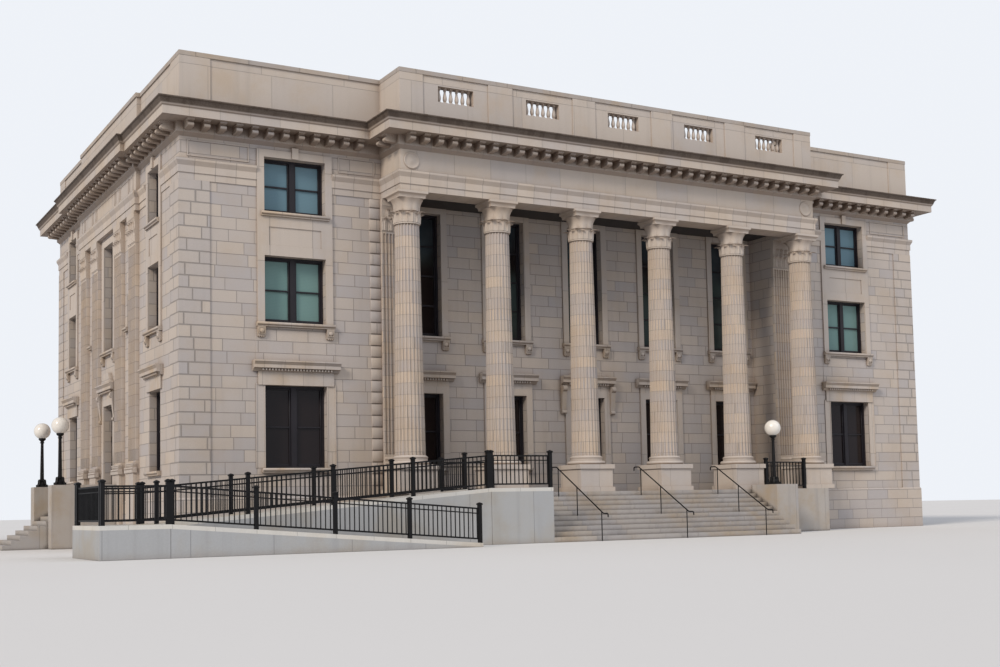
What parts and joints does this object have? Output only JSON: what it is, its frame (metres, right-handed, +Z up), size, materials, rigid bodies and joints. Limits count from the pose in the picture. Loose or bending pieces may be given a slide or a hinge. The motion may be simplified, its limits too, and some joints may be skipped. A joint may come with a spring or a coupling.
{
  "type": "courthouse",
  "caption": "Neoclassical stone courthouse with a columned portico, moulded cornice and parapet, front steps, access ramp and opening double doors.",
  "frame": {"origin": "ground level, at the middle of the line of the wings' front faces", "axes": "+X to the right along the front seen from outside, +Y from the front to the rear, +Z up"},
  "size_m": [38.159, 26.659, 16.37],
  "materials": {
    "facade_stone": "honed",
    "trim_stone": "honed",
    "floor_concrete": "matt",
    "roofing": "matt",
    "ceiling_plaster": "matt",
    "step_stone": "honed",
    "ramp_concrete": "matt",
    "kerb_concrete": "matt",
    "railing_iron": "satin",
    "frame_metal": "satin",
    "door_metal": "satin",
    "window_glass": "polished",
    "globe_glass": "satin"
  },
  "bodies": {
    "building": {"front_walls": "facade_stone", "rear_wall": "facade_stone", "right_wall": "facade_stone", "left_wall_before_door": "facade_stone", "left_wall_behind_door": "facade_stone", "portico_wall_beside_door": "facade_stone", "walls_over_doors": "facade_stone", "floors": "floor_concrete", "roof_deck": "roofing", "cornice": "trim_stone", "modillions": "trim_stone", "parapet": "trim_stone", "parapet_coping": "trim_stone", "balusters": "trim_stone", "architrave_band": "trim_stone", "entablature": "trim_stone", "portico_ceiling": "ceiling_plaster", "portico_platform": "step_stone", "front_steps": "step_stone", "side_steps": "step_stone", "cheek_blocks": "step_stone", "access_ramp": "ramp_concrete", "ramp_kerbs": "kerb_concrete", "railings": "railing_iron", "column_pedestals": "trim_stone", "column_bases": "trim_stone", "column_shafts": "trim_stone", "column_capitals": "trim_stone", "pilaster_pedestals": "trim_stone", "pilasters": "trim_stone", "pilaster_capitals": "trim_stone", "window_frames": "frame_metal", "window_glass": "window_glass", "window_surrounds": "trim_stone", "window_sills": "trim_stone", "window_hoods": "trim_stone", "door_frames": "frame_metal", "base_course": "facade_stone", "corner_quoins": "facade_stone", "lamp_posts": "railing_iron", "lamp_globes": "globe_glass"},
    "front_left_door": {"front_door_left_leaf": "door_metal"},
    "front_right_door": {"front_door_right_leaf": "door_metal"},
    "side_left_door": {"side_door_left_leaf": "door_metal"},
    "side_right_door": {"side_door_right_leaf": "door_metal"}
  },
  "joints": [
    {"name": "front_left_hinge", "type": "hinge", "parent": "building", "child": "front_left_door", "pos_m": [-0.7, 1.5957, 3.05], "axis": [0, 0, -1], "range_deg": [0, 90]},
    {"name": "front_right_hinge", "type": "hinge", "parent": "building", "child": "front_right_door", "pos_m": [0.7, 1.5957, 3.05], "axis": [0, 0, 1], "range_deg": [0, 90]},
    {"name": "side_left_hinge", "type": "hinge", "parent": "building", "child": "side_left_door", "pos_m": [-16.2643, 10.41, 3.05], "axis": [0, 0, -1], "range_deg": [0, 90]},
    {"name": "side_right_hinge", "type": "hinge", "parent": "building", "child": "side_right_door", "pos_m": [-16.2643, 9.09, 3.05], "axis": [0, 0, 1], "range_deg": [0, 90]}
  ]
}
